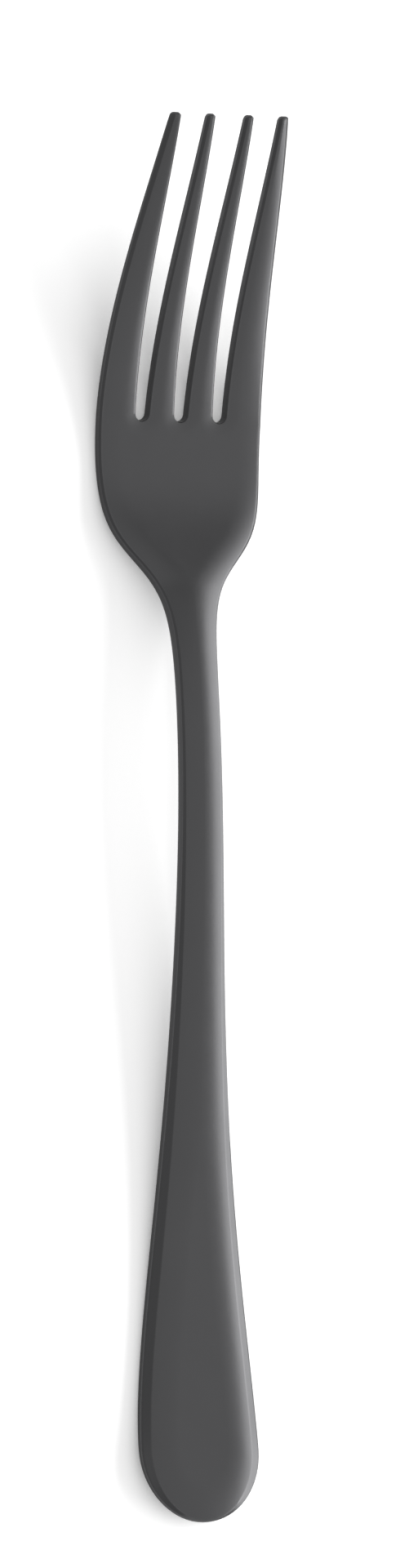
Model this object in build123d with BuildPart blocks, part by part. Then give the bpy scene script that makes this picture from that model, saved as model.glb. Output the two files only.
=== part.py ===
from build123d import *
from math import atan, exp, pi, radians, sqrt, tan
import os

# A four-tine dinner fork, pressed and ground from one blank of stainless steel.
# It lies face up on z = 0 with its tines towards +Y. All sizes are in millimetres.

# Lengths of the stretches, laid end to end from the end of the handle to the tips
CAP_LENGTH = 10.65
HANDLE_LENGTH = 107.2
SHOULDER_LENGTH = 22.8
PALM_LENGTH = 21.2
TINE_LENGTH = 43.0

# Widths across the fork
HANDLE_WIDTH = 18.9
NECK_WIDTH = 5.95
HEAD_WIDTH = 26.1
TIP_SPREAD = 18.9

# How gently the outline runs from one width to the next
HANDLE_TAPER = 45.5
HANDLE_TAPER_POWER = 1.6
SHOULDER_TAPER = 3.8
TINE_TAPER_POWER = 1.6

# Thickness of the metal
HANDLE_THICKNESS = 3.0
HEAD_THICKNESS = 2.1
TIP_THICKNESS = 1.2

# The back seen from the side: heights above the table, at shares of the way along each stretch
END_LIFT = 1.9
REST_SHARE = 0.178
REST_FLAT = 0.08
GRIP_SHARE = 0.424
GRIP_RISE = 1.05
SHANK_SHARE = 0.678
SHANK_RISE = 3.7
ARCH_SHARE = 0.94
ARCH_RISE = 5.5
SLOPE_SHARE = 0.87
SLOPE_RISE = 2.75
BELLY_SHARE = 0.69
CURVE_SHARE = 0.184
CURVE_RISE = 2.8
TINE_SHARE = 0.51
TINE_RISE = 9.4
TIP_RISE = 21.75

# The edges: the face rolls down to a crease, a flat facet falls from it, and a round side runs to the back
ROLL_WIDTH = 4.0
ROLL_MOST = 0.85
ROLL_TILT = 18.0
HEAD_ROLL_TILT = 7.0
HANDLE_CREASE_INSET = 1.3
HANDLE_BACK_INSET = 0.7
EDGE_INSET = 0.35
FACET_TILT = 48.0
FACET_SHARE = 0.85
WIDEST_HEIGHT = 0.5

# The palm of the head is dished by this much across its shoulders
DISH_RISE = 0.1

# The slots between the tines, and the rims of the tines
SLOT_ROOT_WIDTH = 2.15
SIDE_SLOT_ROOT = 6.2
SIDE_SLOT_MOUTH = 5.8
MIDDLE_GAP = 5.0
SIDE_GAP = 4.4
ROOT_RIM_RADIUS = 0.1
TIP_RIM_RADIUS = 0.35
RIM_MOST = 0.33
TIP_ROUND = 0.6
TIP_END_SHARE = 0.45

# How many sections shape each stretch
HANDLE_SECTIONS = 10
HEAD_SECTIONS = 15
TINE_SECTIONS = 6
TIP_SECTIONS = 4

# Where the handle and the neck are counted as ending, as shares of the way along their stretches
HANDLE_END_SHARE = 0.78
NECK_END_SHARE = 0.57

# Places along the fork, measured from the end of the handle
neck_place = CAP_LENGTH + HANDLE_LENGTH
shoulder_place = neck_place + SHOULDER_LENGTH
slot_place = shoulder_place + PALM_LENGTH
root_radius = SLOT_ROOT_WIDTH / 2
root_place = slot_place + root_radius
length = slot_place + TINE_LENGTH
handle_end = HANDLE_END_SHARE * neck_place
neck_end = neck_place + NECK_END_SHARE * SHOULDER_LENGTH


def along(place):
    """The Y of a place measured from the end of the handle."""
    return place - length / 2


def handle_share(place):
    """One at the widest part of the handle, falling to nothing at the neck."""
    past_widest = max(place - CAP_LENGTH, 0)
    return exp(-((past_widest / HANDLE_TAPER) ** HANDLE_TAPER_POWER))


def head_share(place):
    """Nothing at the neck, a half at the shoulders, one in the head."""
    return 2 / pi * atan(exp((place - shoulder_place) / SHOULDER_TAPER))


def tine_share(place):
    """Nothing up to the slots, rising to one at the tips."""
    return max(place - slot_place, 0) / TINE_LENGTH


def half_width(place):
    width = NECK_WIDTH
    width += (HANDLE_WIDTH - NECK_WIDTH) * handle_share(place)
    width += (HEAD_WIDTH - NECK_WIDTH) * head_share(place)
    width -= (HEAD_WIDTH - TIP_SPREAD) * tine_share(place) ** TINE_TAPER_POWER
    return width / 2


def thickness(place):
    thick = HANDLE_THICKNESS
    thick -= (HANDLE_THICKNESS - HEAD_THICKNESS) * head_share(place)
    thick -= (HEAD_THICKNESS - TIP_THICKNESS) * tine_share(place)
    return thick


def dish_rise(place):
    """How far the sides curl up above the middle, most where the palm is two thirds of its width."""
    head = head_share(place)
    most = (2 / 3) ** 2 * (1 / 3)
    return DISH_RISE * head * head * (1 - head) / most


# The back line, as a curve in the middle plane
with BuildLine(Plane.YZ) as side_view:
    Spline(
        (along(0), END_LIFT),
        (along(REST_SHARE * neck_place), -REST_FLAT),
        (along(GRIP_SHARE * neck_place), GRIP_RISE),
        (along(SHANK_SHARE * neck_place), SHANK_RISE),
        (along(ARCH_SHARE * neck_place), ARCH_RISE),
        (along(neck_place + SLOPE_SHARE * SHOULDER_LENGTH), SLOPE_RISE),
        (along(shoulder_place + BELLY_SHARE * PALM_LENGTH), -REST_FLAT),
        (along(slot_place + CURVE_SHARE * TINE_LENGTH), CURVE_RISE),
        (along(slot_place + TINE_SHARE * TINE_LENGTH), TINE_RISE),
        (along(length), TIP_RISE),
    )
back_line = side_view.edges()[0]


def square_plane(place):
    """The plane square to the back line at a place, with its y axis out of the face."""
    share = 1
    if place < length:
        crossing = back_line.intersect(Plane.XZ.offset(-along(place)))[0]
        share = back_line.param_at_point(Vector(crossing))
    return Plane(origin=back_line @ share, x_dir=(1, 0, 0), z_dir=-(back_line % share))


def edge_points(place):
    """Right-hand corners of the section: back, widest point, end of facet, crease and edge of open face."""
    half = half_width(place)
    thick = thickness(place)
    handle = handle_share(place)
    rise = dish_rise(place)
    crease_inset = EDGE_INSET + (HANDLE_CREASE_INSET - EDGE_INSET) * handle
    back_inset = EDGE_INSET + (HANDLE_BACK_INSET - EDGE_INSET) * handle
    tilt = ROLL_TILT + (HEAD_ROLL_TILT - ROLL_TILT) * head_share(place)
    roll = min(ROLL_WIDTH, ROLL_MOST * (half - crease_inset))
    drop = roll * tan(radians(tilt / 2))
    back_x = half - back_inset
    crease_x = half - crease_inset
    face_x = crease_x - roll
    back = Vector(back_x, rise * (back_x / half) ** 2)
    crease = Vector(crease_x, thick - drop + rise * (crease_x / half) ** 2)
    face = Vector(face_x, thick + rise * (face_x / half) ** 2)
    facet_run = FACET_SHARE * crease_inset
    facet = crease + Vector(facet_run, -facet_run * tan(radians(FACET_TILT)))
    widest = Vector(half, back.Y + WIDEST_HEIGHT * (facet.Y - back.Y))
    return back, widest, facet, crease, face


def mirrored(point):
    return Vector(-point.X, point.Y)


def spread(first, last, count):
    """Places from first up to, but not including, last."""
    return [first + (last - first) * step / count for step in range(count)]


def from_root(place, root, tip):
    """A size that runs evenly from its value at the roots of the slots to its value at the tips."""
    return root + (tip - root) * (place - root_place) / (length - root_place)


def rim_radius(place, width):
    """The rounding of a tine's rims, kept to a share of its width where it is slim."""
    return min(from_root(place, ROOT_RIM_RADIUS, TIP_RIM_RADIUS), RIM_MOST * width)


def tip_share(place):
    """One along the tine, then falling on a quarter ellipse over the rounded tip."""
    past_start = max(place - (length - TIP_ROUND), 0) / TIP_ROUND
    return TIP_END_SHARE + (1 - TIP_END_SHARE) * sqrt(max(1 - past_start ** 2, 0))


def tine_plane(place, middle_x):
    """The square plane with its origin in the middle of a tine."""
    plane = square_plane(place)
    middle = plane.from_local_coords((middle_x, thickness(place) / 2, 0))
    return Plane(origin=middle, x_dir=plane.x_dir, z_dir=plane.z_dir)


# The rounded end of the handle: half a section turned about its middle, drawn out to the cap's length
back, widest, facet, crease, face = edge_points(CAP_LENGTH)
with BuildPart() as cap:
    with BuildSketch(Plane.XY):
        with BuildLine():
            Line((0, 0), back)
            ThreePointArc(back, widest, facet)
            Line(facet, crease)
            TangentArc(face, crease, tangent=(1, 0))
            Line(face, (0, face.Y))
            Line((0, face.Y), (0, 0))
        make_face()
    revolve(axis=Axis((0, 0, 0), (0, -1, 0)), revolution_arc=180)
    scale(by=(1, 1, CAP_LENGTH / half_width(CAP_LENGTH)))

# Handle, neck and head in one: sections from the widest part to the tines, and the cap on its end.
# It is ground flat where it stands on the table, under the handle and under the head.
stations = spread(CAP_LENGTH, neck_place, HANDLE_SECTIONS)
stations += spread(neck_place, root_place, HEAD_SECTIONS)
stations += [root_place]
with BuildPart() as blank:
    for station in stations:
        back, widest, facet, crease, face = edge_points(station)
        middle = thickness(station)
        face_rise = face.Y - middle
        with BuildSketch(square_plane(station)):
            with BuildLine():
                Bezier(mirrored(back), (0, -back.Y), back)
                ThreePointArc(back, widest, facet)
                Line(facet, crease)
                TangentArc(face, crease, tangent=(face.X, 2 * face_rise))
                Bezier(face, (0, middle - face_rise), mirrored(face))
                TangentArc(mirrored(face), mirrored(crease), tangent=(-face.X, 2 * face_rise))
                Line(mirrored(crease), mirrored(facet))
                ThreePointArc(mirrored(facet), mirrored(widest), mirrored(back))
            make_face()
    loft()
    add(square_plane(CAP_LENGTH).location * cap.part)
    split(bisect_by=Plane.XY, keep=Keep.TOP)

# The round bottoms of the slots, pierced square through the end of the head
root_plane = square_plane(root_place)
slot_plane = Plane(origin=root_plane.origin, x_dir=root_plane.x_dir, z_dir=root_plane.y_dir)
with BuildPart() as slotted:
    add(blank.part)
    with BuildSketch(slot_plane):
        with Locations((-SIDE_SLOT_ROOT, 0), (0, 0), (SIDE_SLOT_ROOT, 0)):
            Circle(root_radius)
    extrude(amount=HANDLE_THICKNESS, both=True, mode=Mode.SUBTRACT)

# The regions of the fork, cut square across so that each meets the next face to face
handle_cut = Plane.XZ.offset(-along(handle_end))
neck_cut = Plane.XZ.offset(-along(neck_end))

os.makedirs("parts", exist_ok=True)

with BuildPart() as handle:
    add(slotted.part)
    split(bisect_by=handle_cut, keep=Keep.TOP)
handle.part.label = "handle"
export_step(handle.part, "parts/handle.step")

with BuildPart() as neck:
    add(slotted.part)
    split(bisect_by=handle_cut, keep=Keep.BOTTOM)
    split(bisect_by=neck_cut, keep=Keep.TOP)
neck.part.label = "neck"
export_step(neck.part, "parts/neck.step")

with BuildPart() as head:
    add(slotted.part)
    split(bisect_by=neck_cut, keep=Keep.BOTTOM)
head.part.label = "head"
export_step(head.part, "parts/head.step")

# The tines: smooth up to the rounded tip, then drawn in by short steps
tine_stations = spread(root_place, length - TIP_ROUND, TINE_SECTIONS) + [length - TIP_ROUND]
tip_stations = spread(length - TIP_ROUND, length, TIP_SECTIONS) + [length]

with BuildPart() as tine_inner_right:
    for places, stepped in ((tine_stations, False), (tip_stations, True)):
        for place in places:
            share = tip_share(place)
            low_x = from_root(place, root_radius, MIDDLE_GAP / 2)
            high_x = from_root(place, SIDE_SLOT_ROOT - root_radius, SIDE_SLOT_MOUTH - SIDE_GAP / 2)
            width = high_x - low_x
            with BuildSketch(tine_plane(place, (low_x + high_x) / 2)):
                RectangleRounded(width, thickness(place), rim_radius(place, width))
                scale(by=share)
        loft(ruled=stepped)
tine_inner_right.part.label = "tine_inner_right"
export_step(tine_inner_right.part, "parts/tine_inner_right.step")

with BuildPart() as tine_outer_right:
    for places, stepped in ((tine_stations, False), (tip_stations, True)):
        for place in places:
            share = tip_share(place)
            low_x = from_root(place, SIDE_SLOT_ROOT + root_radius, SIDE_SLOT_MOUTH + SIDE_GAP / 2)
            back, widest, facet, crease = edge_points(place)[:4]
            middle = Vector((low_x + widest.X) / 2, thickness(place) / 2)
            low = Vector(low_x, 0) - middle
            high = Vector(low_x, thickness(place)) - middle
            with BuildSketch(tine_plane(place, middle.X)) as section:
                with BuildLine():
                    Line(low, back - middle)
                    ThreePointArc(back - middle, widest - middle, facet - middle)
                    Line(facet - middle, crease - middle)
                    Line(crease - middle, high)
                    Line(high, low)
                make_face()
                fillet(section.vertices().sort_by(Axis.X)[:2], rim_radius(place, widest.X - low_x))
                scale(by=share)
        loft(ruled=stepped)
tine_outer_right.part.label = "tine_outer_right"
export_step(tine_outer_right.part, "parts/tine_outer_right.step")

with BuildPart() as tine_inner_left:
    mirror(tine_inner_right.part, about=Plane.YZ)
tine_inner_left.part.label = "tine_inner_left"
export_step(tine_inner_left.part, "parts/tine_inner_left.step")

with BuildPart() as tine_outer_left:
    mirror(tine_outer_right.part, about=Plane.YZ)
tine_outer_left.part.label = "tine_outer_left"
export_step(tine_outer_left.part, "parts/tine_outer_left.step")
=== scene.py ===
from math import atan, cos, exp, hypot, pi, radians, sin, sqrt, tan

import bmesh
import bpy
import numpy as np
from mathutils import Matrix, Vector


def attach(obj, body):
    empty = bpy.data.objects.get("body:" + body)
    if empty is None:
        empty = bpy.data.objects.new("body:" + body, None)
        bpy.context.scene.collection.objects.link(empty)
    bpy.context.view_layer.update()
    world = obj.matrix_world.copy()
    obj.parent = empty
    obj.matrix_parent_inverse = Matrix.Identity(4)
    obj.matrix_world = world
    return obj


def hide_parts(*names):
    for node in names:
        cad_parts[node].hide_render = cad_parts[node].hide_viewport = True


# A four-tine dinner fork of coated stainless steel, lying face up on a pale table.
# It is shaped in millimetres as a flat blank, then bent to its side view.

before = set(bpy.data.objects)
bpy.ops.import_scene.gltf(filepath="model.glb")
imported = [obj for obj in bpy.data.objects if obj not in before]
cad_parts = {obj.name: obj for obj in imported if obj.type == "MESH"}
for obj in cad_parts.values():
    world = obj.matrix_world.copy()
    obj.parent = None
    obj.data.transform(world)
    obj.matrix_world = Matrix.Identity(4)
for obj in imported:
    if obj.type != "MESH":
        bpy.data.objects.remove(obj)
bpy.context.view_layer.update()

MM = 0.001

# Lengths of the stretches, laid end to end from the end of the handle to the tips
CAP_LENGTH = 10.65
HANDLE_LENGTH = 107.2
SHOULDER_LENGTH = 22.8
PALM_LENGTH = 21.2
TINE_LENGTH = 43.0

# Widths across the fork
HANDLE_WIDTH = 18.9
NECK_WIDTH = 5.95
HEAD_WIDTH = 26.1
TIP_SPREAD = 18.9

# How gently the outline runs from one width to the next
HANDLE_TAPER = 45.5
HANDLE_TAPER_POWER = 1.6
SHOULDER_TAPER = 3.8
TINE_TAPER_POWER = 1.6

# Thickness of the metal
HANDLE_THICKNESS = 3.0
HEAD_THICKNESS = 2.1
TIP_THICKNESS = 1.2

# The back seen from the side: heights above the table, at shares of the way along each stretch
END_LIFT = 1.9
REST_SHARE = 0.178
REST_FLAT = 0.08
GRIP_SHARE = 0.424
GRIP_RISE = 1.05
SHANK_SHARE = 0.678
SHANK_RISE = 3.7
ARCH_SHARE = 0.94
ARCH_RISE = 5.5
SLOPE_SHARE = 0.87
SLOPE_RISE = 2.75
BELLY_SHARE = 0.69
CURVE_SHARE = 0.184
CURVE_RISE = 2.8
TINE_SHARE = 0.51
TINE_RISE = 9.4
TIP_RISE = 21.75

# The face rolls down towards the outer edge, ever more steeply, as far as a crease
ROLL_WIDTH = 4.1
SHOULDER_ROLL_GAIN = 1.5
HEAD_ROLL_WIDTH = 3.2
TIP_ROLL_WIDTH = 2.0
ROLL_TILT = 15.5
NECK_ROLL_TILT = 16.5
HEAD_ROLL_TILT = 7.0
HEAD_TILT_POWER = 7
TIP_ROLL_TILT = 13.0
ROLL_POWER = 2.0
NECK_ROLL_POWER = 1.45
NECK_REACH_POWER = 4

# The palm of the head is dished by this much across its shoulders
DISH_RISE = 0.1

# Below the crease a flat facet falls away, and a round side runs from it to the back
EDGE_INSET = 0.35
TIP_EDGE_INSET = 0.6
HANDLE_CREASE_INSET = 1.47
CREASE_POWER = 3
HANDLE_BACK_INSET = 0.7
FACET_TILT = 29.0
HEAD_FACET_TILT = 48.0
FACET_SHARE = 0.88
WIDEST_HEIGHT = 0.5
LOW_ROUND_SHARE = 0.2

# Towards the end of the handle the crease runs out to the edge, and the metal thins from below
END_CREASE_INSET = 0.1
END_CREASE_POWER = 2
END_ROLL_TILT = 26.0
END_ROLL_POWER = 1.5
END_THINNING = 0.95
THINNING_LENGTH = 16.0
THINNING_POWER = 1.2

# The slots between the tines, and the softer roll along their rims
SLOT_ROOT_WIDTH = 2.15
SIDE_SLOT_ROOT = 6.2
SIDE_SLOT_MOUTH = 5.8
MIDDLE_GAP = 4.7
SIDE_GAP = 4.05
RIM_INSET = 0.12
TIP_RIM_INSET = 0.45
RIM_BACK_INSET = 0.06
RIM_WIDEST_HEIGHT = 0.15
RIM_ROLL_WIDTH = 2.0
RIM_ROLL_MOST = 0.5
RIM_ROLL_TILT = 10.0
RIM_ROLL_POWER = 1.5

# The blunt tips: trimmed a little, with round corners, and rounded above and below a flat middle
TIP_TRIM = 0.22
TIP_CORNER_RADIUS = 0.55
TIP_ROUND = 0.35
TIP_END_SHARE = 0.45
TIP_CUT_POWER = 30

# Edges sharper than this angle are softened by a small bevel
SHARP_ANGLE = 25.0
EDGE_BEVEL = 0.08
BEVEL_SEGMENTS = 2

# Columns of the half blank, counted from the middle line out to the edge
MIDDLE_SLOT_COLUMNS = 5
INNER_TINE_COLUMNS = 12
SIDE_SLOT_COLUMNS = 10
OUTER_TINE_COLUMNS = 14

# Rows of the half blank, counted from the widest part of the handle to the tips
HANDLE_ROWS = 90
SHOULDER_ROWS = 28
PALM_ROWS = 20
ROOT_ROWS = 16
TINE_ROWS = 60

# Cuts round the walls of the half blank, and how far up them the facet ends and the widest line lies
WALL_CUTS = 11
FACET_LEVEL = 2 / 3
WIDEST_LEVEL = 1 / 3

# Steps round the cap, and between the marks of the side view
CAP_TURNS = 18
LINE_STEPS = 60

# Half a cell of the plain slab, and the distance below which two points are one
HALF_CELL = 0.5
TOUCHING = 1e-4

# The finish of the steel: its colours and roughness, and the sizes of its patterns
COAT_THIN = "#4C4C4D"
COAT_THICK = "#484849"
RUBBED_COAT = "#525253"
EDGE_GLEAM = "#CCCCCC"
ROUGHEST = 0.315
SMOOTHEST = 0.285
RUBBED_SMOOTHER = 0.04
COAT_PATCH = 18.0
SMUDGE = 3.0
LEAST_UNEVEN = 0.7
MOST_UNEVEN = 1.3
RUBBED_SPOT = 0.6
GRAIN = 0.4
GRAIN_HEIGHT = 0.0015

# The table, a hair under the fork, and how far it is lifted towards white where it is seen or mirrored
TABLE_GAP = 0.05
TABLE_REACH = 4000
TABLE_COLOUR = "#F2F2F2"
TABLE_ROUGHNESS = 0.8
TABLE_LIFT = 0.2

# Soft light: a bright panel low on the right, a wide dim one overhead, and a plain room all round
WHITE = "#FFFFFF"
ROOM_LIGHT = 0.63
SIDE_PANEL = {"size": (1350, 680), "place": (800, 75, 350), "aim": (-1, 0, 0), "turn": 0, "power": 15.6}
OVERHEAD_PANEL = {"size": (1750, 3310), "place": (550, -979, 1300), "aim": (0, 0, -1), "turn": 15,
                  "power": 8.26}

# The camera looks down on the left side of the fork, with its length nearly upright in the picture
CAMERA_AZIMUTH = -77.0
CAMERA_ELEVATION = 65.0
CAMERA_ROLL = -1.13
CAMERA_DISTANCE = 2400
VIEW_HEIGHT = 229.5
VIEW_RIGHT_SHIFT = 3.33
VIEW_UP_SHIFT = 6.005
SENSOR = 36

# Places along the fork, measured from the end of the handle
neck_place = CAP_LENGTH + HANDLE_LENGTH
shoulder_place = neck_place + SHOULDER_LENGTH
slot_place = shoulder_place + PALM_LENGTH
root_radius = SLOT_ROOT_WIDTH / 2
bridge_place = slot_place - root_radius
root_place = slot_place + root_radius
length = slot_place + TINE_LENGTH

# The columns and rows of the half blank where its stretches meet, and the places of those rows
first_tine_column = MIDDLE_SLOT_COLUMNS
side_slot_column = first_tine_column + INNER_TINE_COLUMNS
second_tine_column = side_slot_column + SIDE_SLOT_COLUMNS
edge_column = second_tine_column + OUTER_TINE_COLUMNS
shoulder_row = HANDLE_ROWS + SHOULDER_ROWS
bridge_row = shoulder_row + PALM_ROWS
root_row = bridge_row + ROOT_ROWS
tip_row = root_row + TINE_ROWS
row_marks = (0, HANDLE_ROWS, shoulder_row, bridge_row, root_row, tip_row)
place_marks = (CAP_LENGTH, neck_place, shoulder_place, bridge_place, root_place, length - TIP_TRIM)


def handle_share(place):
    """One at the widest part of the handle, falling to nothing at the neck."""
    past_widest = max(place - CAP_LENGTH, 0)
    return exp(-((past_widest / HANDLE_TAPER) ** HANDLE_TAPER_POWER))


def head_share(place):
    """Nothing at the neck, a half at the shoulders, one in the head."""
    return 2 / pi * atan(exp((place - shoulder_place) / SHOULDER_TAPER))


def shoulder_share(place):
    """One at the shoulders, falling to nothing at the neck and in the head."""
    return 4 * head_share(place) * (1 - head_share(place))


def neck_share(place):
    """One where the neck is neither handle nor head, falling to nothing at both of its ends."""
    return ((1 - head_share(place)) * (1 - handle_share(place))) ** NECK_REACH_POWER


def tine_share(place):
    """Nothing up to the slots, rising to one at the tips."""
    return max(place - slot_place, 0) / TINE_LENGTH


def eased(share):
    """A share that leaves nothing gently and comes to one gently."""
    return share * share * (3 - 2 * share)


def half_width(place):
    width = NECK_WIDTH
    width += (HANDLE_WIDTH - NECK_WIDTH) * handle_share(place)
    width += (HEAD_WIDTH - NECK_WIDTH) * head_share(place)
    width -= (HEAD_WIDTH - TIP_SPREAD) * tine_share(place) ** TINE_TAPER_POWER
    return width / 2


def thickness(place):
    thick = HANDLE_THICKNESS
    thick -= (HANDLE_THICKNESS - HEAD_THICKNESS) * head_share(place)
    thick -= (HEAD_THICKNESS - TIP_THICKNESS) * tine_share(place)
    return thick


def dish_rise(place):
    """How far the sides curl up above the middle, most where the palm is two thirds of its width."""
    head = head_share(place)
    most = (2 / 3) ** 2 * (1 / 3)
    return DISH_RISE * head * head * (1 - head) / most


def crease_inset(place):
    """How far the crease lies in from the outline: wide along the handle, narrow from the neck on."""
    on_handle = 1 - (1 - handle_share(place)) ** CREASE_POWER
    inset = EDGE_INSET + (HANDLE_CREASE_INSET - EDGE_INSET) * on_handle
    return inset + (TIP_EDGE_INSET - EDGE_INSET) * tine_share(place)


def back_inset(place):
    return EDGE_INSET + (HANDLE_BACK_INSET - EDGE_INSET) * handle_share(place)


def crease_x(place):
    return half_width(place) - crease_inset(place)


def from_root(place, root, tip):
    """A size that runs evenly from its value at the roots of the slots to its value at the tips."""
    return root + (tip - root) * max(place - root_place, 0) / (length - root_place)


def slot_edges(place, inset=0):
    """Right-hand edge of the middle slot, then both edges of the side slot, all set back by an inset."""
    middle = from_root(place, root_radius, MIDDLE_GAP / 2) + inset
    side = from_root(place, SIDE_SLOT_ROOT, SIDE_SLOT_MOUTH)
    reach = from_root(place, root_radius, SIDE_GAP / 2) + inset
    return middle, side - reach, side + reach


def column_x(column, place, edge, inset):
    """Where a column lies across the blank: spread evenly in the handle, along the slots in the head."""
    ahead = max(place, root_place)
    middle, low, high = slot_edges(ahead, inset)
    outer = edge * half_width(ahead) / half_width(place)
    if column <= first_tine_column:
        across = middle * sin(pi / 2 * column / MIDDLE_SLOT_COLUMNS)
    elif column <= side_slot_column:
        across = middle + (low - middle) * (column - first_tine_column) / INNER_TINE_COLUMNS
    elif column <= second_tine_column:
        turn = (column - side_slot_column) / SIDE_SLOT_COLUMNS
        across = (low + high) / 2 - (high - low) / 2 * cos(pi * turn)
    else:
        across = high + (outer - high) * (column - second_tine_column) / OUTER_TINE_COLUMNS
    slotted = eased(min(max((place - shoulder_place) / (bridge_place - shoulder_place), 0), 1))
    return edge * (slotted * across / outer + (1 - slotted) * column / edge_column)


def slot_depth(x, inset):
    """How far the round bottom of the nearest slot reaches past its centre."""
    nearest = min(abs(x), abs(x - SIDE_SLOT_ROOT))
    return sqrt(max((root_radius + inset) ** 2 - nearest ** 2, 0))


def tip_cut(x, place, up):
    """How much shorter a tine is than at the middle of its end, from the round corners of its tip."""
    middle, low, high = slot_edges(place)
    if x < (low + high) / 2:
        left, right = middle, low
    else:
        left, right = high, half_width(place)
    reach = (right - left) / 2
    radius = min(TIP_CORNER_RADIUS, reach)
    past = min(max(abs(x - (left + right) / 2) - (reach - radius), 0), radius)
    above = min(max(abs(2 * up - 1) - TIP_END_SHARE, 0) / (1 - TIP_END_SHARE), 1)
    return radius - sqrt(radius ** 2 - past ** 2) + TIP_ROUND * (1 - sqrt(1 - above ** 2))


def rim_crease_inset(place):
    """How far the crease lies in from the rim of a slot: further towards the tips."""
    return from_root(place, RIM_INSET, TIP_RIM_INSET)


def rim_distance(x, place):
    """Distance from a point of the face to the rim of the nearest slot."""
    if place < root_place:
        nearest = min(abs(x), abs(x - SIDE_SLOT_ROOT))
        return hypot(nearest, root_place - place) - root_radius
    middle, low, high = slot_edges(place)
    return max(min(abs(x - middle), abs(x - low), abs(x - high)), 0)


def roll_drop(past_start, width, tilt, power):
    """How far a roll has fallen, if it starts level and reaches a tilt at the end of its width."""
    share = min(max(past_start / width, 0), 1)
    return tan(radians(tilt)) * width / power * share ** power


def rim_drop(x, place):
    """How far the face falls towards the rims of the slots."""
    inset = rim_crease_inset(place)
    middle, low, high = slot_edges(place, inset)
    roll = min(RIM_ROLL_WIDTH, RIM_ROLL_MOST * (low - middle))
    past_start = roll + inset - rim_distance(x, place)
    return roll_drop(past_start, roll, RIM_ROLL_TILT, RIM_ROLL_POWER)


def edge_drop(x, place):
    """How far the face falls on its roll towards the outer crease."""
    head = head_share(place)
    tine = tine_share(place)
    neck = neck_share(place)
    roll = ROLL_WIDTH + (HEAD_ROLL_WIDTH - ROLL_WIDTH) * head
    roll += (TIP_ROLL_WIDTH - HEAD_ROLL_WIDTH) * tine
    roll += SHOULDER_ROLL_GAIN * shoulder_share(place)
    roll = min(roll, crease_x(place))
    tilt = ROLL_TILT + (HEAD_ROLL_TILT - ROLL_TILT) * head ** HEAD_TILT_POWER
    tilt += (TIP_ROLL_TILT - HEAD_ROLL_TILT) * sqrt(tine)
    tilt += (NECK_ROLL_TILT - ROLL_TILT) * neck
    power = ROLL_POWER + (NECK_ROLL_POWER - ROLL_POWER) * neck
    return roll_drop(x - (crease_x(place) - roll), roll, tilt, power)


def face_height(x, place):
    dish = dish_rise(place) * (x / half_width(place)) ** 2
    return thickness(place) + dish - edge_drop(x, place) - rim_drop(x, place)


def back_height(x, place):
    dish = dish_rise(place) * (x / half_width(place)) ** 2
    return dish + END_THINNING * max(1 - place / THINNING_LENGTH, 0) ** THINNING_POWER


def facet_tilt(place):
    return FACET_TILT + (HEAD_FACET_TILT - FACET_TILT) * head_share(place)


def curve(start, corner, end, share):
    """A point on the curve that leaves its start towards the corner and comes from there to its end."""
    start, corner, end = Vector(start), Vector(corner), Vector(end)
    return start.lerp(corner, share).lerp(corner.lerp(end, share), share)


def side_point(level, tilt, top_inset, low_inset, thick, widest_height):
    """How far a point of the side lies in from the outline, and its height as a share of the thickness."""
    slope = tan(radians(tilt))
    facet_end = (top_inset * (1 - FACET_SHARE), thick - top_inset * FACET_SHARE * slope)
    widest = (0, facet_end[1] * widest_height)
    if level >= FACET_LEVEL:
        share = (1 - level) / (1 - FACET_LEVEL)
        point = Vector((top_inset, thick)).lerp(Vector(facet_end), eased(share))
    elif level >= WIDEST_LEVEL:
        share = (FACET_LEVEL - level) / (FACET_LEVEL - WIDEST_LEVEL)
        point = curve(facet_end, (0, thick - top_inset * slope), widest, share)
    else:
        share = 1 - level / WIDEST_LEVEL
        point = curve(widest, (0, widest[1] * LOW_ROUND_SHARE), (low_inset, 0), share)
    return point.x, point.y / thick


def blank_point(column, row, level):
    """The place on the flat blank of a point of the plain slab."""
    place = float(np.interp(row, row_marks, place_marks))
    edge_thick = thickness(place) - edge_drop(crease_x(place), place)
    edge_inset, up = side_point(level, facet_tilt(place), crease_inset(place), back_inset(place),
                                edge_thick, WIDEST_HEIGHT)
    rim_inset, rim_up = side_point(level, HEAD_FACET_TILT, rim_crease_inset(place), RIM_BACK_INSET,
                                   thickness(place), RIM_WIDEST_HEIGHT)
    if column < edge_column:
        up = rim_up
    x = column_x(column, place, half_width(place) - edge_inset, rim_inset)
    if row <= root_row:
        drawn = max(row - shoulder_row, 0) / (root_row - shoulder_row)
        place -= slot_depth(x, rim_inset) * drawn
    else:
        place -= tip_cut(x, place, up) * ((row - root_row) / TINE_ROWS) ** TIP_CUT_POWER
    low = back_height(x, place)
    return Vector((x, place, low + (face_height(x, place) - low) * up))


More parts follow.
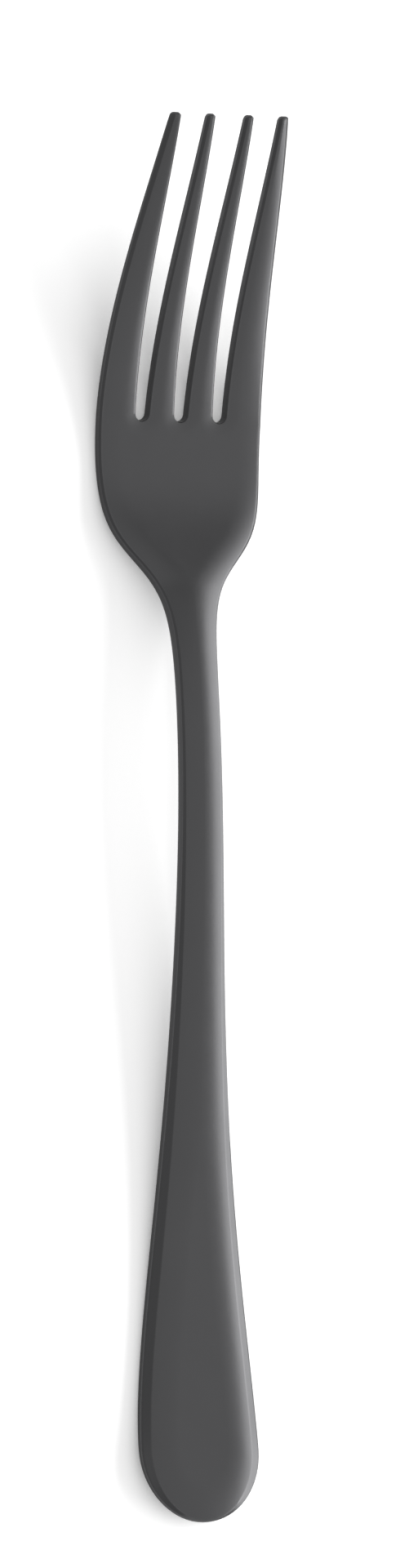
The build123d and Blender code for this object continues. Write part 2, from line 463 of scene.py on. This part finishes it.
def cap_point(point):
    """Draws a point of the round end out to the cap's length, with its crease run out to the edge."""
    reach = hypot(point.x, CAP_LENGTH - point.y)
    half = half_width(CAP_LENGTH)
    inset = crease_inset(CAP_LENGTH)
    turned = (CAP_LENGTH - point.y) / reach
    past_start = min(reach, half - inset) - (half - inset - ROLL_WIDTH)
    steeper = roll_drop(past_start, ROLL_WIDTH, END_ROLL_TILT, ROLL_POWER)
    steeper -= roll_drop(past_start, ROLL_WIDTH, ROLL_TILT, ROLL_POWER)
    lowered = 1 - steeper * turned ** END_ROLL_POWER / face_height(min(reach, half - inset), CAP_LENGTH)
    end_inset = inset + (END_CREASE_INSET - inset) * turned ** END_CREASE_POWER
    if reach < half - inset:
        spread = (half - end_inset) / (half - inset)
    else:
        spread = (half - (half - reach) * end_inset / inset) / reach
    place = CAP_LENGTH - turned * reach * spread * CAP_LENGTH / half
    thick = thickness(place)
    thinned = (thick - back_height(0, place)) / (thick - back_height(0, CAP_LENGTH))
    return Vector((point.x * spread, place, thick - (thick - point.z * lowered) * thinned))


def back_line():
    """Points close together along the back, seen from the side, with the direction it runs in there.

    They lie on a smooth chain of cubics through the marks. At each end the chain runs in the direction of
    the one cubic through the four marks nearest to it.
    """
    marks = np.array((
        (0, END_LIFT),
        (REST_SHARE * neck_place, -REST_FLAT),
        (GRIP_SHARE * neck_place, GRIP_RISE),
        (SHANK_SHARE * neck_place, SHANK_RISE),
        (ARCH_SHARE * neck_place, ARCH_RISE),
        (neck_place + SLOPE_SHARE * SHOULDER_LENGTH, SLOPE_RISE),
        (shoulder_place + BELLY_SHARE * PALM_LENGTH, -REST_FLAT),
        (slot_place + CURVE_SHARE * TINE_LENGTH, CURVE_RISE),
        (slot_place + TINE_SHARE * TINE_LENGTH, TINE_RISE),
        (length, TIP_RISE),
    ))
    steps = np.hypot(*np.diff(marks, axis=0).T)
    knots = np.concatenate(((0,), np.cumsum(steps)))
    ends = [np.polyder(np.polyfit(knots[part], marks[part, side], 3))
            for part in (slice(0, 4), slice(-4, None)) for side in (0, 1)]
    slopes = np.zeros((len(marks), len(marks)))
    wanted = np.zeros_like(marks)
    slopes[0, 0] = slopes[-1, -1] = 1
    wanted[0] = [np.polyval(end, knots[0]) for end in ends[:2]]
    wanted[-1] = [np.polyval(end, knots[-1]) for end in ends[2:]]
    for mark in range(1, len(marks) - 1):
        before, after = steps[mark - 1], steps[mark]
        slopes[mark, mark - 1:mark + 2] = after, 2 * (before + after), before
        wanted[mark] = 3 * (after * (marks[mark] - marks[mark - 1]) / before
                            + before * (marks[mark + 1] - marks[mark]) / after)
    tangents = np.linalg.solve(slopes, wanted)
    points, directions = [], []
    for mark, step in enumerate(steps):
        span = marks[mark + 1] - marks[mark]
        start, end = tangents[mark] * step, tangents[mark + 1] * step
        second = 3 * span - 2 * start - end
        third = start + end - 2 * span
        for share in np.linspace(0, 1, LINE_STEPS, endpoint=False):
            points.append(marks[mark] + share * (start + share * (second + share * third)))
            directions.append(start + share * (2 * second + share * 3 * third))
    points.append(marks[-1])
    directions.append(tangents[-1] * steps[-1])
    return np.array(points), np.array(directions)


line_points, line_directions = back_line()


def bent_point(point):
    """Bends a point of the flat blank to the side view, and grinds flat what would reach below the table."""
    on_line = max(point.y, CAP_LENGTH)
    height = np.interp(on_line, line_points[:, 0], line_points[:, 1])
    run = np.interp(on_line, line_points[:, 0], line_directions[:, 0])
    climb = np.interp(on_line, line_points[:, 0], line_directions[:, 1])
    run, climb = run / hypot(run, climb), climb / hypot(run, climb)
    ahead = point.y - on_line
    y = on_line + run * ahead - climb * point.z
    z = height + climb * ahead + run * point.z
    return Vector((point.x, y - length / 2, max(z, 0)))


def in_slot(face):
    """Whether a face of the plain slab is one that the slots take away."""
    middle = face.calc_center_median()
    between = middle.x < first_tine_column or side_slot_column < middle.x < second_tine_column
    return between and middle.y > root_row


def plain_slab():
    """Half the blank before it is shaped: a slotted slab, one unit thick and with cells of one unit."""
    shape = bmesh.new()
    bmesh.ops.create_grid(shape, x_segments=edge_column, y_segments=tip_row, size=HALF_CELL)
    bmesh.ops.translate(shape, vec=(HALF_CELL, HALF_CELL, 0), verts=shape.verts)
    bmesh.ops.scale(shape, vec=(edge_column, tip_row, 1), verts=shape.verts)
    slots = [face for face in shape.faces if in_slot(face)]
    bmesh.ops.delete(shape, geom=slots, context="FACES")

    # The slab gets its back and its walls, which are open on the middle line and where the cap joins
    raised = bmesh.ops.extrude_face_region(shape, geom=shape.faces[:])["geom"]
    bmesh.ops.translate(shape, vec=(0, 0, 1), verts=[v for v in raised if isinstance(v, bmesh.types.BMVert)])
    inner_walls = [face for face in shape.faces
                   if all(v.co.x < HALF_CELL for v in face.verts)
                   or all(v.co.y < HALF_CELL for v in face.verts)]
    bmesh.ops.delete(shape, geom=inner_walls, context="FACES")
    uprights = [edge for edge in shape.edges if abs(edge.verts[0].co.z - edge.verts[1].co.z) > HALF_CELL]
    bmesh.ops.subdivide_edges(shape, edges=uprights, cuts=WALL_CUTS, use_grid_fill=True)
    return shape


def add_cap(shape):
    """Turns the blank's first section a quarter about its middle, then draws it out to the cap's length."""
    rim = [edge for edge in shape.edges
           if edge.is_boundary and all(abs(v.co.y - CAP_LENGTH) < TOUCHING for v in edge.verts)]
    rim_points = list(dict.fromkeys(v for edge in rim for v in edge.verts))
    bmesh.ops.spin(shape, geom=rim + rim_points, cent=(0, CAP_LENGTH, 0), axis=(0, 0, 1),
                   angle=-pi / 2, steps=CAP_TURNS)
    for vert in shape.verts:
        if vert.co.y < CAP_LENGTH - TOUCHING:
            vert.co = cap_point(vert.co)


def mark_worn_edges(shape):
    """Keeps at every point how sharp its sharpest edge is, up to one for those that wear."""
    wear = shape.verts.layers.float.new("edge_wear")
    for vert in shape.verts:
        sharpest = max(edge.calc_face_angle(0) for edge in vert.link_edges)
        vert[wear] = min(sharpest / radians(SHARP_ANGLE), 1)


def fork_mesh():
    """The whole fork as one closed shape: half the blank, capped, bent and mirrored."""
    shape = plain_slab()
    for vert in shape.verts:
        vert.co = blank_point(round(vert.co.x), round(vert.co.y), vert.co.z)
    add_cap(shape)
    for vert in shape.verts:
        vert.co = bent_point(vert.co)
        if vert.co.x < TOUCHING:
            vert.co.x = 0
    half = shape.verts[:] + shape.edges[:] + shape.faces[:]
    bmesh.ops.mirror(shape, geom=half, axis="X", merge_dist=TOUCHING)
    bmesh.ops.remove_doubles(shape, verts=shape.verts, dist=TOUCHING)
    bmesh.ops.recalc_face_normals(shape, faces=shape.faces)
    mark_worn_edges(shape)
    bmesh.ops.scale(shape, vec=(MM, MM, MM), verts=shape.verts)
    for face in shape.faces:
        face.smooth = True
    mesh = bpy.data.meshes.new("fork")
    shape.to_mesh(mesh)
    shape.free()
    return mesh


fork = bpy.data.objects.new("fork", fork_mesh())
bpy.context.scene.collection.objects.link(fork)
softened = fork.modifiers.new("softened_edges", "BEVEL")
softened.limit_method = "ANGLE"
softened.angle_limit = radians(SHARP_ANGLE)
softened.width = EDGE_BEVEL * MM
softened.segments = BEVEL_SEGMENTS
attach(fork, "root")
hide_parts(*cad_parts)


def linear(hex_colour):
    """A colour written as sRGB hex, as linear red, green, blue and alpha."""
    parts = [int(hex_colour[at:at + 2], 16) / 255 for at in (1, 3, 5)]
    return [p / 12.92 if p <= 0.04045 else ((p + 0.055) / 1.055) ** 2.4 for p in parts] + [1]


def add_node(tree, kind, inputs, **properties):
    """Adds a node with its properties, and sets each input to a value or links it to an output."""
    node = tree.nodes.new(kind)
    for name, value in properties.items():
        setattr(node, name, value)
    for name, value in inputs.items():
        if isinstance(value, bpy.types.NodeSocket):
            tree.links.new(value, node.inputs[name])
        else:
            node.inputs[name].default_value = value
    return node


# Stainless steel, fine bead blasted and vacuum coated in dark grey: a metal with a soft, wide gleam that
# grows little towards its edges. The coat is not quite even, hands leave it smoother in places, and its
# edges are rubbed a little lighter. The blast grain is about 0.05 mm, drawn coarser so that it still shows.
coated_steel = bpy.data.materials.new("coated_steel")
coated_steel.use_nodes = True
steel = coated_steel.node_tree
metal = steel.nodes["Principled BSDF"]
over_fork = add_node(steel, "ShaderNodeTexCoord", {}).outputs["Object"]
patches, smudges, rubbed_spots, grain = (
    add_node(steel, "ShaderNodeTexNoise", {"Vector": over_fork, "Scale": 1 / (size * MM)}).outputs[0]
    for size in (COAT_PATCH, SMUDGE, RUBBED_SPOT, GRAIN))
wear = add_node(steel, "ShaderNodeAttribute", {}, attribute_name="edge_wear").outputs["Fac"]
rubbed = add_node(steel, "ShaderNodeMath", {0: wear, 1: rubbed_spots}, operation="MULTIPLY").outputs[0]

# A mix of colours takes its share in input 0 and its two colours in inputs 6 and 7
coat = add_node(steel, "ShaderNodeMix", {0: patches, 6: linear(COAT_THICK), 7: linear(COAT_THIN)},
                data_type="RGBA").outputs[2]
worn_coat = add_node(steel, "ShaderNodeMix", {0: rubbed, 6: coat, 7: linear(RUBBED_COAT)},
                     data_type="RGBA").outputs[2]
uneven = add_node(steel, "ShaderNodeMath", {0: patches, 1: smudges}, operation="ADD").outputs[0]
span = {"From Min": LEAST_UNEVEN, "From Max": MOST_UNEVEN, "To Min": ROUGHEST, "To Max": SMOOTHEST}
gloss = add_node(steel, "ShaderNodeMapRange", {"Value": uneven, **span}).outputs[0]
worn_gloss = add_node(steel, "ShaderNodeMath", {0: rubbed, 1: -RUBBED_SMOOTHER, 2: gloss},
                      operation="MULTIPLY_ADD").outputs[0]
blasted = add_node(steel, "ShaderNodeBump", {"Height": grain, "Distance": GRAIN_HEIGHT * MM}).outputs[0]
steel.links.new(worn_coat, metal.inputs["Base Color"])
steel.links.new(worn_gloss, metal.inputs["Roughness"])
steel.links.new(blasted, metal.inputs["Normal"])
metal.inputs["Metallic"].default_value = 1
metal.inputs["Specular Tint"].default_value = linear(EDGE_GLEAM)
fork.data.materials.append(coated_steel)

# The table top: white matt paint, as bright as paper where the camera sees it in the open
table_top = bpy.data.materials.new("table_top")
table_top.use_nodes = True
top = table_top.node_tree
paint = top.nodes["Principled BSDF"]
paint.inputs["Base Color"].default_value = linear(TABLE_COLOUR)
paint.inputs["Roughness"].default_value = TABLE_ROUGHNESS
paint.inputs["Emission Color"].default_value = linear(WHITE)
rays = add_node(top, "ShaderNodeLightPath", {}).outputs
seen = add_node(top, "ShaderNodeMath", {0: rays["Is Camera Ray"], 1: rays["Is Glossy Ray"]},
                operation="MAXIMUM").outputs[0]
seen = add_node(top, "ShaderNodeMath", {0: seen, 1: rays["Is Transmission Ray"]},
                operation="MAXIMUM").outputs[0]
lift = add_node(top, "ShaderNodeMath", {0: seen, 1: TABLE_LIFT}, operation="MULTIPLY").outputs[0]
top.links.new(lift, paint.inputs["Emission Strength"])

table_shape = bmesh.new()
bmesh.ops.create_grid(table_shape, x_segments=1, y_segments=1, size=TABLE_REACH * MM)
table_mesh = bpy.data.meshes.new("table")
table_shape.to_mesh(table_mesh)
table_shape.free()
table = bpy.data.objects.new("table", table_mesh)
table.location.z = -TABLE_GAP * MM
table.data.materials.append(table_top)
bpy.context.scene.collection.objects.link(table)

# The plain room, which gives an even light from all round
room = bpy.data.worlds.new("room")
room.use_nodes = True
walls = room.node_tree.nodes["Background"]
walls.inputs["Color"].default_value = linear(WHITE)
walls.inputs["Strength"].default_value = ROOM_LIGHT
bpy.context.scene.world = room


def add_panel(name, size, place, aim, turn, power):
    """A soft panel of light that shines along its aim, turned about the upright by an angle."""
    light = bpy.data.lights.new(name, "AREA")
    light.shape = "RECTANGLE"
    light.size, light.size_y = (side * MM for side in size)
    light.energy = power
    panel = bpy.data.objects.new(name, light)
    panel.location = Vector(place) * MM
    panel.rotation_euler = Vector(aim).to_track_quat("-Z", "Y").to_euler()
    panel.rotation_euler.z += radians(turn)
    panel.visible_camera = False
    bpy.context.scene.collection.objects.link(panel)


add_panel("side_panel", **SIDE_PANEL)
add_panel("overhead_panel", **OVERHEAD_PANEL)

# The camera, rolled a little about its line of sight and aimed a little past the middle of the fork
azimuth, elevation = radians(CAMERA_AZIMUTH), radians(CAMERA_ELEVATION)
towards = Vector((sin(azimuth) * cos(elevation), -cos(azimuth) * cos(elevation), sin(elevation)))
along_fork = Vector((0, 1, 0))
upward = (along_fork - towards * along_fork.dot(towards)).normalized()
upward = Matrix.Rotation(radians(CAMERA_ROLL), 3, towards) @ upward
rightward = upward.cross(towards)
target = rightward * VIEW_RIGHT_SHIFT + upward * VIEW_UP_SHIFT
camera_data = bpy.data.cameras.new("camera")
camera_data.sensor_width = SENSOR
camera_data.lens = SENSOR * CAMERA_DISTANCE / VIEW_HEIGHT
camera_data.clip_end = 2 * CAMERA_DISTANCE * MM
camera = bpy.data.objects.new("camera", camera_data)
turn = Matrix((rightward, upward, towards)).transposed()
camera.matrix_world = Matrix.Translation((target + towards * CAMERA_DISTANCE) * MM) @ turn.to_4x4()
bpy.context.scene.collection.objects.link(camera)
bpy.context.scene.camera = camera
bpy.context.scene.view_settings.view_transform = "Standard"
